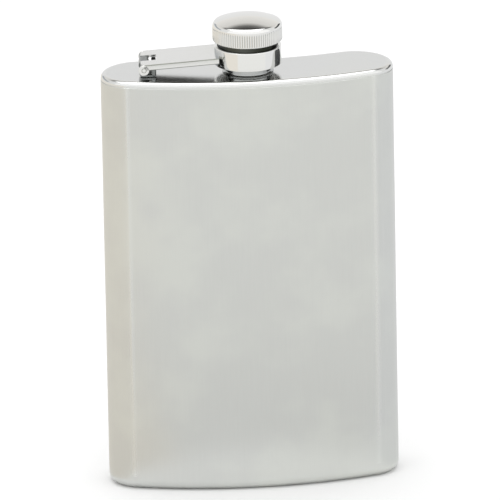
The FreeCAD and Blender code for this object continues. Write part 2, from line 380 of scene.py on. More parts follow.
def make_handling_group() -> bpy.types.NodeTree:
    """Faint broad stains from handling: large soft noise that tints and dulls a finish."""
    tree, nodes, given, made = new_group(
        "handling",
        {"Position": (0.0, 0.0, 0.0), "Colour": (0.8, 0.8, 0.8, 1.0),
         "Stain": (0.75, 0.77, 0.72, 1.0), "Amount": 0.3, "Roughness": 0.3, "Dulling": 0.05},
        {"Colour": "Color", "Roughness": "Float"})
    source = given.outputs
    cloud = nodes.add("TexNoise", Vector=source["Position"], Scale=38.0, Detail=3.0, Roughness=0.55)
    mask = nodes.add("MapRange", interpolation_type="SMOOTHSTEP", Value=cloud.outputs[0],
                     From_Min=0.42, From_Max=0.68)
    share = nodes.math("MULTIPLY", mask.outputs[0], source["Amount"])
    colour = nodes.add("Mix", data_type="RGBA", i0=share, i6=source["Colour"], i7=source["Stain"])
    rough = nodes.math("ADD", source["Roughness"],
                       nodes.math("MULTIPLY", mask.outputs[0], source["Dulling"]))
    nodes.put(made, "Colour", colour.outputs[2])
    nodes.put(made, "Roughness", rough)
    return tree


class Lay(Enum):
    """Which way a finish's scratches run."""

    UPRIGHT = (1.0, 1.0, 0.02)
    ALONG_X = (0.02, 1.0, 1.0)
    ROUND = (1.0, 1.0, 1.0)


@dataclass(frozen=True)
class SteelFinish:
    """A worked steel surface: brushed, turned or polished.

    Attributes:
        name: Name of the material.
        colour: Reflection colour of the metal.
        roughness: Mean roughness.
        lay: Which way the scratches run.
        scratches_per_metre: How close the scratches stand.
        contrast: How much they lighten and darken the colour.
        spread: How much they vary the roughness.
        bump: Height of the scratches in metres.
        stain: How much handling shows.
        painted_light_mark: Attribute that marks where painted light or shade goes, or empty.
        painted_light_colour: Painted colour there, a painted highlight or painted shade.
        marked_roughness: Roughness there.
    """

    name: str
    colour: tuple[float, float, float]
    roughness: float
    lay: Lay = Lay.ROUND
    scratches_per_metre: float = 2600.0
    contrast: float = 0.10
    spread: float = 0.10
    bump: float = 0.000004
    stain: float = 0.2
    painted_light_mark: str = ""
    painted_light_colour: tuple[float, float, float] = (0.9, 0.9, 0.89)
    marked_roughness: float = 0.08

    def position(self, nodes: Nodes, axis_xy: np.ndarray
                 ) -> tuple[bpy.types.NodeSocket, bpy.types.NodeSocket]:
        """Plain and stretched position of a surface point.

        A straight lay squeezes the position along the scratches. A round lay swaps it for the
        distance from the neck's axis and the height, so that the scratches are circles.

        Args:
            nodes: Helper of the material's tree.
            axis_xy: Where the neck's axis stands.

        Returns:
            The Object position and the position for the scratches.
        """
        plain = nodes.add("TexCoord").outputs["Object"]
        if self.lay is Lay.ROUND:
            centred = nodes.add("Mapping", Vector=plain, Location=(-axis_xy[0], -axis_xy[1], 0))
            parts = nodes.add("SeparateXYZ", Vector=centred.outputs[0])
            x, y, z = parts.outputs
            square = nodes.math("ADD", nodes.math("MULTIPLY", x, x), nodes.math("MULTIPLY", y, y))
            radius = nodes.math("SQRT", square)
            vector = nodes.add("CombineXYZ", X=radius, Y=z, Z=nodes.math("MULTIPLY", x, 0.02))
        else:
            vector = nodes.add("VectorMath", operation="MULTIPLY", i0=plain, i1=self.lay.value)
        scaled = nodes.add("VectorMath", operation="SCALE", i0=vector.outputs[0],
                           Scale=self.scratches_per_metre)
        return plain, scaled.outputs[0]

    def build(self, groups: "Groups") -> bpy.types.Material:
        """Builds the material.

        Args:
            groups: The shared node groups and the neck's axis.

        Returns:
            The material.
        """
        material = bpy.data.materials.new(self.name)
        material.use_nodes = True
        nodes = Nodes(material.node_tree)
        shader = material.node_tree.nodes["Principled BSDF"]
        plain, stretched = self.position(nodes, groups.axis_xy)
        colour: object = (*self.colour, 1.0)
        rough: object = self.roughness
        # The marked spots take a painted colour: a painted highlight or painted shade.
        if self.painted_light_mark:
            mask = nodes.add("Attribute", attribute_name=self.painted_light_mark).outputs["Fac"]
            colour = nodes.add("Mix", data_type="RGBA", i0=mask, i6=colour,
                               i7=(*self.painted_light_colour, 1.0)).outputs[2]
            rough = nodes.add("Mix", i0=mask, i2=rough, i3=self.marked_roughness).outputs[0]
        grain = nodes.group(groups.grain, Position=stretched, Colour=colour, Roughness=rough,
                            Contrast=self.contrast, Spread=self.spread)
        stained = nodes.group(groups.handling, Position=plain, Colour=grain.outputs["Colour"],
                              Roughness=grain.outputs["Roughness"], Amount=self.stain)
        bump = nodes.add("Bump", Strength=1.0, Distance=self.bump, Height=grain.outputs["Height"])
        shader.inputs["Metallic"].default_value = 1.0
        nodes.put(shader, "Base Color", stained.outputs["Colour"])
        nodes.put(shader, "Roughness", stained.outputs["Roughness"])
        nodes.put(shader, "Normal", bump.outputs[0])
        return material


@dataclass(frozen=True)
class MouldedFinish:
    """A moulded plastic or rubber surface with a fine skin texture.

    Attributes:
        name: Name of the material.
        colour: Surface colour.
        roughness: Mean roughness.
        grains_per_metre: How fine the skin texture is.
        bump: Height of the skin texture in metres.
    """

    name: str
    colour: tuple[float, float, float]
    roughness: float
    grains_per_metre: float = 3000.0
    bump: float = 0.00001

    def build(self, groups: "Groups") -> bpy.types.Material:
        """Builds the material."""
        material = bpy.data.materials.new(self.name)
        material.use_nodes = True
        nodes = Nodes(material.node_tree)
        shader = material.node_tree.nodes["Principled BSDF"]
        plain = nodes.add("TexCoord").outputs["Object"]
        scaled = nodes.add("VectorMath", operation="SCALE", i0=plain, Scale=self.grains_per_metre)
        grain = nodes.group(groups.grain, Position=scaled.outputs[0], Colour=(*self.colour, 1.0),
                            Roughness=self.roughness, Contrast=0.08, Spread=0.1)
        bump = nodes.add("Bump", Strength=1.0, Distance=self.bump, Height=grain.outputs["Height"])
        nodes.put(shader, "Base Color", grain.outputs["Colour"])
        nodes.put(shader, "Roughness", grain.outputs["Roughness"])
        nodes.put(shader, "Normal", bump.outputs[0])
        return material


@dataclass
class Groups:
    """Node groups that several finishes share, with the axis that round scratches turn about."""

    axis_xy: np.ndarray
    grain: bpy.types.NodeTree = field(default_factory=make_grain_group)
    handling: bpy.types.NodeTree = field(default_factory=make_handling_group)


# The lighter marked colour along the wall's fold lines is a painted highlight.
WALL_STEEL = SteelFinish("wall_brushed_steel", (0.645, 0.655, 0.635), 0.30, Lay.UPRIGHT,
                         stain=0.35, painted_light_mark="fold",
                         painted_light_colour=(0.70, 0.71, 0.69), marked_roughness=0.24)
# The brighter marked colour on the shoulder's rim is a painted highlight.
PLATE_STEEL = SteelFinish("plate_satin_steel", (0.72, 0.725, 0.72), 0.13, Lay.ALONG_X, spread=0.06,
                          painted_light_mark="painted_rim_highlight", painted_light_colour=(0.755, 0.76, 0.75), marked_roughness=0.14)
# The neck's dark colour is painted shade under the collar.
NECK_SHADED_STEEL = SteelFinish("neck_turned_steel_painted_shade", (0.42, 0.43, 0.43), 0.10, contrast=0.06)
# The dark colour is painted shade on the hinge foot under the arm; the retaining ring inside the collar
# shares it.
SHADED_DARK_STEEL = SteelFinish("dark_steel_painted_shade", (0.20, 0.21, 0.21), 0.22)
# The dark marked colour on the arm and pin is painted shade along folds, lower edges and the pin's head
# edges.
ARM_STEEL = SteelFinish("arm_satin_steel", (0.79, 0.79, 0.78), 0.18, Lay.ALONG_X,
                        painted_light_mark="painted_crease_shade", painted_light_colour=(0.22, 0.23, 0.20), marked_roughness=0.35)
# Painted shade: dark colour on the arm channel's inner faces.
ARM_INSIDE_SHADE = SteelFinish("arm_inside_painted_shade", (0.17, 0.17, 0.16), 0.50, Lay.ALONG_X)
# The dark marked colour is painted shade in the groove under the cap's head and in its knurl.
MIRROR_STEEL = SteelFinish("mirror_steel", (0.82, 0.82, 0.805), 0.045, contrast=0.03, spread=0.03,
                           bump=0.000001, stain=0.1, painted_light_mark="painted_recess_shade",
                           painted_light_colour=(0.022, 0.025, 0.018), marked_roughness=0.20)
LINER = MouldedFinish("liner_moulded", (0.78, 0.77, 0.72), 0.45)
SEAL = MouldedFinish("seal_rubber", (0.70, 0.70, 0.67), 0.65, bump=0.00002)


@dataclass
class Fitter:
    """Dresses finished pieces and ties them to the frame.

    Attributes:
        groups: Shared node groups.
        materials: Materials made so far, by finish name.
    """

    groups: Groups
    materials: dict[str, bpy.types.Material] = field(default_factory=dict)

    def fit(self, piece: bpy.types.Object, node: str, *finishes: SteelFinish | MouldedFinish) -> None:
        """Gives a piece its finishes and lets it stand for a frame node.

        Args:
            piece: The new piece.
            node: The node that it replaces, whose body it takes.
            finishes: Its finish and, for the arm, the dark finish of its inside, which is painted shade.
        """
        for finish in finishes:
            if finish.name not in self.materials:
                self.materials[finish.name] = finish.build(self.groups)
            piece.data.materials.append(self.materials[finish.name])
        record = frame["record"]
        bodies = record["behaviour"]["bodies"]
        body = next(name for name, members in bodies.items() if node in members)
        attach(piece, body)
        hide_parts(node)
        log.info("%s: %d faces, on %s", piece.name, len(piece.data.polygons), body)


# ---- body ----------------------------------------------------------------------------------
@dataclass
class KidneySection:
    """Outline of the body: six tangent arcs, convex in front and hollow behind.

    Attributes:
        half_width: Middle to side.
        half_thickness: Neck's axis to the front, and to the hollow face, at the middle.
        axis_y: The neck's axis.
        back_edge_radius: Rounding between the side and the hollow face.
        front_radius: Bend of the front face.
        side_line_offset: The widest line of the side, behind the neck's axis.
        count: Number of points round the outline.
        points: The outline's points (x, y).
        normals: Outward normal at each point.
        fold: How far each point lies past the joint of front and side, along the outline.
    """

    half_width: float
    half_thickness: float
    axis_y: float
    back_edge_radius: float
    front_radius: float = 133.3 * MM
    side_line_offset: float = 3.83 * MM
    count: int = 760
    points: np.ndarray = field(init=False)
    normals: np.ndarray = field(init=False)
    fold: np.ndarray = field(init=False)

    def __post_init__(self) -> None:
        """Works out the arcs and spreads the points evenly along them.

        Each arc is (centre, signed radius, first and last angle of the outward normal). The
        front edge's radius makes it tangent to the front arc and to the side, and the hollow
        arc's radius makes it tangent to both back edges.
        """
        reach = self.front_radius - self.half_thickness - self.side_line_offset
        edge = ((self.front_radius ** 2 - self.half_width ** 2 - reach ** 2)
                / (2 * (self.front_radius - self.half_width)))
        back_x = self.half_width - self.back_edge_radius
        rise = self.half_thickness - self.side_line_offset
        hollow = ((back_x ** 2 + rise ** 2 - self.back_edge_radius ** 2)
                  / (2 * (self.back_edge_radius - rise)))
        front_half = math.atan2(self.half_width - edge, reach)
        back_half = math.atan2(back_x, hollow + rise)
        quarter = math.pi / 2
        arcs = [
            ((0, self.front_radius - self.half_thickness), self.front_radius,
             -quarter, -quarter + front_half),
            ((self.half_width - edge, self.side_line_offset), edge, -quarter + front_half, 0),
            ((back_x, self.side_line_offset), self.back_edge_radius, 0, quarter + back_half),
            ((0, self.half_thickness + hollow), -hollow, quarter + back_half, quarter),
        ]
        lengths = [abs(radius * (last - first)) for _, radius, first, last in arcs]
        half_count = self.count // 2
        along = (np.arange(half_count) + 0.5) / half_count * sum(lengths)
        x, y, turn = (np.zeros(half_count) for _ in range(3))
        start = 0.0
        for ((cx, cy), radius, first, last), length in zip(arcs, lengths):
            inside = (along >= start) & (along <= start + length)
            angle = first + (along - start) / length * (last - first)
            x = np.where(inside, cx + radius * np.cos(angle), x)
            y = np.where(inside, cy + radius * np.sin(angle), y)
            turn = np.where(inside, angle, turn)
            start += length
        right = np.stack([x, y + self.axis_y], axis=1)
        facing = np.stack([np.cos(turn), np.sin(turn)], axis=1)
        mirror = np.array([-1.0, 1.0])
        self.points = np.concatenate([right, (right * mirror)[::-1]])
        self.normals = np.concatenate([facing, (facing * mirror)[::-1]])
        from_fold = along - lengths[0]
        self.fold = np.concatenate([from_fold, from_fold[::-1]])

    def ring(self, inset: float | np.ndarray, height: float) -> np.ndarray:
        """The outline moved inwards along its normals, at one height."""
        flat = self.points - self.normals * np.broadcast_to(inset, (self.count,))[:, None]
        return np.column_stack([flat, np.full(self.count, height)])

    def spokes(self, inset: float, radius: float, height: float, shares: np.ndarray) -> np.ndarray:
        """Rings between the inset outline and a circle round the neck, along straight spokes.

        Args:
            inset: How far the outer ring lies inside the outline.
            radius: Radius of the inner circle; 0 gives rings that close on the axis.
            height: Height of all the rings.
            shares: 0 for the outline and 1 for the circle, one for each ring.

        Returns:
            Array of shape (shares, points, 3).
        """
        outer = self.ring(inset, height)
        axis = np.array([0, self.axis_y, height])
        away = outer - axis
        away = away / np.linalg.norm(away, axis=1)[:, None]
        inner = axis + away * radius
        return outer + shares[:, None, None] * (inner - outer)


@dataclass
class FlaskBody:
    """The welded body: wrapped wall, shoulder plate and base plate.

    Attributes:
        section: The outline that all three share.
        wall: Sheet thickness of the wall.
        sheet: Sheet thickness of the two plates.
        shoulder_radius: Rounding of the shoulder plate's rim.
        base_radius: Rounding of the base plate's rim.
        seam: Size of the bevels that meet at the shoulder's seam.
        fold_height: How far the fold line stands proud.
        fold_width: Half width of that line.
        wave: Height of the wall's slight unevenness.
    """

    section: KidneySection
    wall: float = 0.7 * MM
    sheet: float = 1.0 * MM
    shoulder_radius: float = 1.5 * MM
    base_radius: float = 3.0 * MM
    seam: float = 0.13 * MM
    fold_height: float = 0.05 * MM
    fold_width: float = 0.8 * MM
    wave: float = 0.03 * MM

    def wall_inset(self, height: float, low: float, high: float) -> np.ndarray:
        """Unevenness of the outer face: three crossed sine waves, faded out at both ends.

        The fold line between the front and each side is a low rounded ridge on top of it.
        """
        x = self.section.points[:, 0]
        y = self.section.points[:, 1]
        waves = (np.sin(x * 160 + height * 55 + 0.7) + np.sin(y * 210 - height * 90 + 2.1)
                 + np.sin(x * 75 - height * 130 + 4.0)) / 3
        ends = 6 * MM
        fade = min(1.0, (height - low) / ends, (high - height) / ends)
        ridge = self.fold_height * np.exp(-(self.section.fold / self.fold_width) ** 2)
        return -(self.wave * waves + ridge) * max(fade, 0.0)

    def make_wall(self) -> bpy.types.Object:
        """Upright tube of the section, outside up and inside down, bevelled at the top.

        Returns:
            The wall, with a fold attribute that is 1 along its fold lines, where a painted highlight
            lightens the wall's colour.
        """
        box = Box.of("body_wall")
        low, high = box.low[2], box.high[2]
        heights = np.linspace(low, high - self.seam, 64)
        outside = [self.section.ring(self.wall_inset(z, low, high), z) for z in heights]
        rings = outside + [self.section.ring(self.seam, high), self.section.ring(self.wall, high),
                           self.section.ring(self.wall, low)]
        piece = loft("wall_shell", np.stack(rings))
        # Painted highlight along the fold lines, on top of the real ridge from wall_inset.
        fold_highlight = np.exp(-(self.section.fold / self.fold_width) ** 2)
        paint(piece, "fold", np.tile(fold_highlight, (len(rings), 1)))
        return piece

    def make_shoulder(self, hole: float) -> bpy.types.Object:
        """Rim up from the seam, quarter-round, flat top to the neck's hole, and back inside.

        Args:
            hole: Radius of the hole for the neck.

        Returns:
            The shoulder plate, with an attribute that is 1 on its rim, where a painted highlight brightens
            the colour.
        """
        box = Box.of("shoulder_plate")
        low, top = box.low[2], box.high[2]
        radius = self.shoulder_radius
        rim = [(self.seam, low), (0.0, low + self.seam)]
        rim += [(radius - r, z) for r, z in arc((0, top - radius), radius, 0, 90, 14)]
        rings = [self.section.ring(inset, z) for inset, z in rim]
        blend = [radius + step * MM for step in (0.3, 0.6)]
        rings += [self.section.ring(inset, top) for inset in blend]
        shares = np.linspace(0, 1, 14)
        rings += list(self.section.spokes(blend[-1], hole, top, shares)[1:])
        rings += list(self.section.spokes(self.wall, hole, top - self.sheet, shares)[::-1])
        rings += [self.section.ring(self.wall, low)]
        piece = loft("shoulder", np.stack(rings))
        # Painted highlight: brighter colour on the rim, fading just inside it.
        rim_highlight = np.zeros((len(rings), self.section.count))
        rim_highlight[:len(rim)] = 1.0
        rim_highlight[len(rim)] = 0.6
        paint(piece, "painted_rim_highlight", rim_highlight)
        return piece

    def make_base(self) -> bpy.types.Object:
        """Dished plate: flat underneath, quarter-round rim, open upwards inside."""
        box = Box.of("base_plate")
        low, top = box.low[2], box.high[2]
        radius, inner = self.base_radius, self.base_radius - self.wall
        shares, point = np.linspace(1, 0, 14), 0.2 * MM
        bottom = list(self.section.spokes(radius, point, low, shares))
        curve = [(radius - r, z) for r, z in arc((0, low + radius), radius, -90, 0, 16)]
        curve += line((0, low + radius), (0, top), 3)[1:]
        outside = [self.section.ring(inset, z) for inset, z in curve[1:]]
        floor = low + self.sheet
        dish = [(radius - r, z) for r, z in arc((0, floor + inner), inner, 0, -90, 8)]
        inside = [self.section.ring(inset, z) for inset, z in [(self.wall, top)] + dish]
        middle = list(self.section.spokes(radius, point, floor, shares[::-1]))[1:]
        return loft("base", np.stack(bottom + outside + inside + middle), wrap_rings=False)

    def build(self, fitter: Fitter) -> None:
        """Makes and dresses the three pieces."""
        fitter.fit(self.make_wall(), "body_wall", WALL_STEEL)
        fitter.fit(self.make_shoulder(Spout.core), "shoulder_plate", PLATE_STEEL)
        fitter.fit(self.make_base(), "base_plate", WALL_STEEL)


@dataclass
class Thread:
    """A helical ridge with sloping flanks.

    Attributes:
        pitch: Rise in one turn.
        depth: Height of the ridge.
        root: Width at its root.
        crest: Width at its crest.
        run_out: Height over which it fades in and out.
    """

    pitch: float = 2.0 * MM
    depth: float = 0.5 * MM
    root: float = 1.1 * MM
    crest: float = 0.5 * MM
    run_out: float = 0.7 * MM

    def height(self, turns: np.ndarray, z: np.ndarray, low: float, high: float) -> np.ndarray:
        """Height of the ridge over its root at angles and heights.

        The distance to the nearest turn's middle, z - pitch * angle / 2 pi folded into one
        pitch, is 0 on the crest; the flank falls in a straight line from crest to root.
        """
        offset = (z - low - self.pitch * turns / (2 * math.pi)) / self.pitch
        gap = np.abs(offset - np.round(offset)) * self.pitch
        flank = np.clip((self.root / 2 - gap) / (self.root / 2 - self.crest / 2), 0, 1)
        ends = smooth_step(z, low, low + self.run_out) * (1 - smooth_step(z, high - self.run_out, high))
        return self.depth * flank * ends


@dataclass
class Spout:
    """The neck: flared foot, plain ring, outer thread and rounded mouth.

    Attributes:
        axis_xy: Where the neck's axis stands.
        deck: Height of the shoulder plate.
        bore: Radius of the bore.
        core: Radius at the thread's root.
        plain: Radius of the plain ring.
        flare: Height of the flare.
        plain_top: Height of the plain ring's top over the plate.
        lip: Rounding of the mouth.
        thread: The outer thread.
    """

    axis_xy: np.ndarray
    deck: float
    bore: float = 6.0 * MM
    core: float = 6.8 * MM
    plain: float = 7.5 * MM
    flare: float = 0.9 * MM
    plain_top: float = 3.1 * MM
    lip: float = 0.35 * MM
    thread: Thread = field(default_factory=Thread)

    def make_neck(self) -> bpy.types.Object:
        """Surface of revolution with a ridge: radius(turn, z) = profile(z) + thread(turn, z)."""
        box = Box.of("neck")
        foot = box.size[0] / 2
        low, top = box.low[2], box.high[2]
        deck, edge = self.deck, 0.2 * MM
        width, rise = foot - self.plain, self.flare - edge
        flare = [(foot - width * math.sin(t), deck + edge + rise * (1 - math.cos(t)))
                 for t in np.linspace(0, math.pi / 2, 14)]
        thread_low, thread_high = deck + self.plain_top + 0.3 * MM, top - self.lip - 0.2 * MM
        outer = [(self.bore, low), (self.core, low), (self.core, deck), (foot - 0.1 * MM, deck),
                 (foot, deck + 0.1 * MM)]
        outer += flare
        outer += [(self.plain, deck + self.plain_top - 0.35 * MM),
                  (self.core, deck + self.plain_top)]
        outer += line((self.core, thread_low), (self.core, thread_high), 56)
        outer += arc((self.core - self.lip, top - self.lip), self.lip, 0, 90, 5)
        outer += arc((self.bore + 0.15 * MM, top - 0.15 * MM), 0.15 * MM, 90, 180, 3)
        turns = full_turn(192)
        rings = spun(outer, turns, self.axis_xy)
        radius, z = (np.array(column)[:, None] for column in zip(*outer))
        ridge = self.thread.height(turns, z, thread_low, thread_high)
        ridge = ridge * (np.abs(radius - self.core) < NEAR) * (z > thread_low - NEAR)
        rings[:, :, 0] += ridge * np.cos(turns)
        rings[:, :, 1] += ridge * np.sin(turns)
        return loft("spout", rings, sharp_degrees=50.0)

    def build(self, fitter: Fitter) -> None:
        """Makes and dresses the neck."""
        fitter.fit(self.make_neck(), "neck", NECK_SHADED_STEEL)


# ---- hinge and arm -------------------------------------------------------------------------
def bar_across(outer: np.ndarray, hole: np.ndarray | None, middle_y: float,
               half_length: float, bevel: float) -> Shell:
    """Bar along Y with a bevelled outline in XZ, with or without a hole right through.

    Rings run from one end's inner edge over its bevel, along the bar and back in at the other
    end. With a hole they go on through it, and without one they shrink to a point-sized end.

    Args:
        outer: Outline points (x, z), anticlockwise.
        hole: Points of the hole's edge, as many as outer, or None.
        middle_y: Middle of the bar.
        half_length: Half its length.
        bevel: Size of the bevel round each end.

    Returns:
        The bar's points and faces.
    """
    centre = outer.mean(axis=0) if hole is None else hole.mean(axis=0)
    edge = np.roll(outer, -1, axis=0) - np.roll(outer, 1, axis=0)
    normal = np.column_stack([edge[:, 1], -edge[:, 0]])
    normal /= np.linalg.norm(normal, axis=1)[:, None]
    inset = outer - normal * bevel
    inner = centre + (outer - centre) * 0.02 if hole is None else hole
    stations = [(inner, -half_length), (inset, -half_length), (outer, bevel - half_length),
                (outer, half_length - bevel), (inset, half_length), (inner, half_length)]
    rings = [np.column_stack([flat[:, 0], np.full(len(flat), middle_y + y), flat[:, 1]])
             for flat, y in stations]
    return shell(np.stack(rings), wrap_rings=hole is not None)


@dataclass
class Hinge:
    """Hinge base, swinging arm and pin.

    Attributes:
        pin: (x, z) of the pin's axis, before the hinge's turn.
        axis_y: Where the neck's axis is.
        deck: Height of the shoulder plate.
        collar_radius: Outer radius of the collar.
        turn: Degrees that the hinge and arm are turned about the neck's axis.
        knuckle_radius: Outer radius of the knuckle and of the arm's ears.
        pin_radius: Radius of the pin.
        foot_length: Length of the foot.
        foot_offset: The foot's middle, from the pin towards the cap.
        foot_width: Width of the foot.
        foot_height: Thickness of the foot.
        lip: Thickness of the foot's upturned end.
        lip_height: Height of that end over the plate.
        web: Thickness of the web under the knuckle.
        knuckle_width: Width of the knuckle.
        arm_width: Width of the arm.
        arm_sheet: Sheet of the arm.
        arm_depth: Height of the arm's channel.
        arm_rise: How much higher its top is at the collar.
        arm_end: Where the arm's flanges end beside the collar.
        bend: Outer radius of the arm's two bends.
        overhang: The top sheet's free end beyond the pin.
        corner: Rounding of that end's corners.
        window_gap: Room beside the knuckle in the window.
        window_reach: The window's end on the collar's side of the pin.
    """

    pin: tuple[float, float]
    axis_y: float
    deck: float
    collar_radius: float
    turn: float
    knuckle_radius: float = 1.7 * MM
    pin_radius: float = 0.65 * MM
    foot_length: float = 5.1 * MM
    foot_offset: float = 1.35 * MM
    foot_width: float = 10.0 * MM
    foot_height: float = 1.0 * MM
    lip: float = 1.5 * MM
    lip_height: float = 3.8 * MM
    web: float = 2.0 * MM
    knuckle_width: float = 5.2 * MM
    arm_width: float = 16.2 * MM
    arm_sheet: float = 0.8 * MM
    arm_depth: float = 1.8 * MM
    arm_rise: float = 1.7 * MM
    arm_end: float = -9.35 * MM
    bend: float = 0.3 * MM
    overhang: float = 1.1 * MM
    corner: float = 3.0 * MM
    window_gap: float = 0.2 * MM
    window_reach: float = 4.0 * MM

    def turned(self, piece: bpy.types.Object) -> bpy.types.Object:
        """The piece after the hinge's turn about the neck's axis."""
        axis = Matrix.Translation((0.0, self.axis_y, 0.0))
        turn = Matrix.Rotation(-math.radians(self.turn), 4, "Z")
        piece.data.transform(axis @ turn @ axis.inverted())
        return piece

    def make_foot(self) -> bpy.types.Object:
        """Foot with its upturned end, web and knuckle: bevelled bars across, in one mesh.

        The knuckle and web have a keyhole outline: at each angle, the larger of the knuckle's
        circle and the web's strip.
        """
        x, z = self.pin
        turns = full_turn(96)
        low = z - self.deck - self.foot_height * 0.5
        half = self.web / 2
        down = np.maximum(-np.sin(turns), 1e-6)
        side = np.maximum(np.abs(np.cos(turns)), 1e-6)
        strip = np.minimum(half / side, low / down)
        reach = np.where(np.sin(turns) < 0, np.maximum(strip, self.knuckle_radius), self.knuckle_radius)
        outer = np.column_stack([x + reach * np.cos(turns), z + reach * np.sin(turns)])
        hole_radius = self.pin_radius + 0.05 * MM
        hole = np.column_stack([x + hole_radius * np.cos(turns), z + hole_radius * np.sin(turns)])
        knuckle = bar_across(outer, hole, self.axis_y, self.knuckle_width / 2, 0.15 * MM)
        left, right = (x + self.foot_offset + side * self.foot_length / 2 for side in (-1, 1))
        top = self.deck + self.foot_height
        corner = 0.35 * MM
        outline = arc((right - corner, top - corner), corner, 0, 90, 5)
        outline += arc((left + corner, top - corner), corner, 90, 180, 5)
        outline += [(left, self.deck), (right, self.deck)]
        plate = bar_across(np.array(outline), None, self.axis_y, self.foot_width / 2, 0.3 * MM)
        tip, sunk, back = self.deck + self.lip_height, self.deck + 0.1 * MM, right - self.lip
        outline = arc((right - corner, tip - corner), corner, 0, 90, 5)
        outline += arc((back + corner, tip - corner), corner, 90, 180, 5)
        outline += [(back, sunk), (right, sunk)]
        lip = bar_across(np.array(outline), None, self.axis_y, self.foot_width / 2, 0.3 * MM)
        return merged("hinge_foot", [knuckle, plate, lip])

    def arm_top(self, x: np.ndarray) -> np.ndarray:
        """Height of the arm's top face along x."""
        start_x, start_z = self.pin[0], self.pin[1] + self.knuckle_radius
        return start_z + self.arm_rise * (x - start_x) / (-self.collar_radius - start_x)

    def half_section(self, half: float, middle: float) -> tuple[np.ndarray, np.ndarray, np.ndarray]:
        """One side of the channel's section, from its middle or window out and down.

        Args:
            half: Half width of the arm.
            middle: Where the section starts.

        Returns:
            Outer points (y, drop below the top), inner points opposite them, and for each
            point how far round the bend it lies (0 to 1) and how dark its painted crease shade is.
        """
        bend, depth, sheet, bevel = self.bend, self.arm_depth, self.arm_sheet, 0.12 * MM
        soft = 0.2 * MM
        flat = [(y, 0.0, 0.0, 0.0) for y in np.linspace(middle, half - bend - soft, 12)]
        turn = np.linspace(0, math.pi / 2, 5)
        # Painted shade: these values darken the bend and, below, the lower edge.
        bent = [(half - bend + bend * math.sin(t), bend * (1 - math.cos(t)), t / turn[-1], dark)
                for t, dark in zip(turn, (1.0, 1.0, 1.0, 1.0, 0.2))]
        down = [(half, depth - bevel - soft, 1.0, 0.0), (half, depth - bevel, 1.0, 1.0),
                (half - bevel, depth, 1.0, 1.0)]
        y, drop, folded, painted_crease_shade = np.array(flat + bent + down).T
        share = (half - sheet - middle) / (half - middle)
        inner_y = middle + (y - middle) * share
        inner_drop = sheet + 0.05 * MM * folded
        inner_drop[-3:] = (depth - bevel - soft, depth - bevel, depth)
        inner_y[-1] = half - sheet + bevel
        pairs = ((y, drop), (inner_y, inner_drop), (folded, painted_crease_shade))
        return tuple(np.stack(pair, axis=1) for pair in pairs)

    def make_arm(self) -> bpy.types.Object:
        """Folded sheet with a window and two ears.

        Two strips beside the window run from the free end, which is rounded in plan, to the
        window's end. From there one channel runs on to the edge coped round the collar. The
        ears are discs round the pin.

        Returns:
            The arm, with a crease attribute that is 1 along its folds and lower edges, and
            with its inner faces on the second material.
        """
        half = self.arm_width / 2
        x_pin = self.pin[0]
        window_half = self.knuckle_width / 2 + self.window_gap
        window_end = x_pin + self.window_reach

        def grid(section: np.ndarray, start: np.ndarray, end: np.ndarray, rows: int) -> np.ndarray:
            """Rows of the section's points between two ends, on the sloping arm."""
            x = start + np.linspace(0, 1, rows)[:, None] * (end - start)
            y = np.broadcast_to(self.axis_y + section[:, 0], x.shape)
            return np.stack([x, y, self.arm_top(x) - section[:, 1]], axis=2)

        shells, painted_crease_shade, inside = [], [], []
        strip_rows, channel_rows = 17, 25
        outer, inner, marks = self.half_section(half, window_half)
        past = np.clip(outer[:, 0] - (half - self.corner), 0, self.corner)
        plan = x_pin - self.overhang + self.corner - np.sqrt(self.corner ** 2 - past ** 2)
        start = np.minimum(plan, x_pin) + marks[:, 0] * np.maximum(x_pin - plan, 0)
        for side in (-1, 1):
            mirror = np.array([side, 1])
            shells.append(sheet_shell(*(grid(part * mirror, start, window_end, strip_rows)
                                        for part in (outer, inner))))
            painted_crease_shade.append(np.tile(marks[:, 1], 2 * strip_rows))
        outer, inner, marks = self.half_section(half, 0.0)
        mirror = np.array([-1, 1])
        outer, inner = (np.concatenate([(part * mirror)[:0:-1], part]) for part in (outer, inner))
        dark = np.concatenate([marks[:0:-1, 1], marks[:, 1]])
        cope = np.minimum(-np.sqrt(np.maximum(self.collar_radius ** 2 - outer[:, 0] ** 2, 0))
                          + 0.05 * MM, self.arm_end)
        begin = np.full(len(dark), window_end)
        shells.append(sheet_shell(*(grid(part, begin, cope, channel_rows)
                                    for part in (outer, inner))))
        painted_crease_shade.append(np.tile(dark, 2 * channel_rows))
        for part, _ in shells:
            inside.append(np.repeat((0, 1), len(part) // 2))
        turns = full_turn(64)
        circle = np.column_stack([np.cos(turns), np.sin(turns)])
        centre = np.array(self.pin)
        for side in (-1, 1):
            middle_y = self.axis_y + side * (half - self.arm_sheet / 2)
            ear = bar_across(centre + self.knuckle_radius * circle,
                             centre + (self.pin_radius + 0.02 * MM) * circle,
                             middle_y, self.arm_sheet / 2, 0.08 * MM)
            shells.append(ear)
            painted_crease_shade.append(np.zeros(len(ear[0])))
            inside.append(np.zeros(len(ear[0]), dtype=int))
        piece = merged("arm_channel", shells)
        # Painted shade along the arm's folds and lower edges.
        paint(piece, "painted_crease_shade", np.concatenate(painted_crease_shade))
        # Inner faces take the second material, painted shade inside the channel.
        within = np.concatenate(inside)
        polygons = piece.data.polygons
        sides = [int(within[list(face.vertices)].min()) for face in polygons]
        polygons.foreach_set("material_index", sides)
        return piece

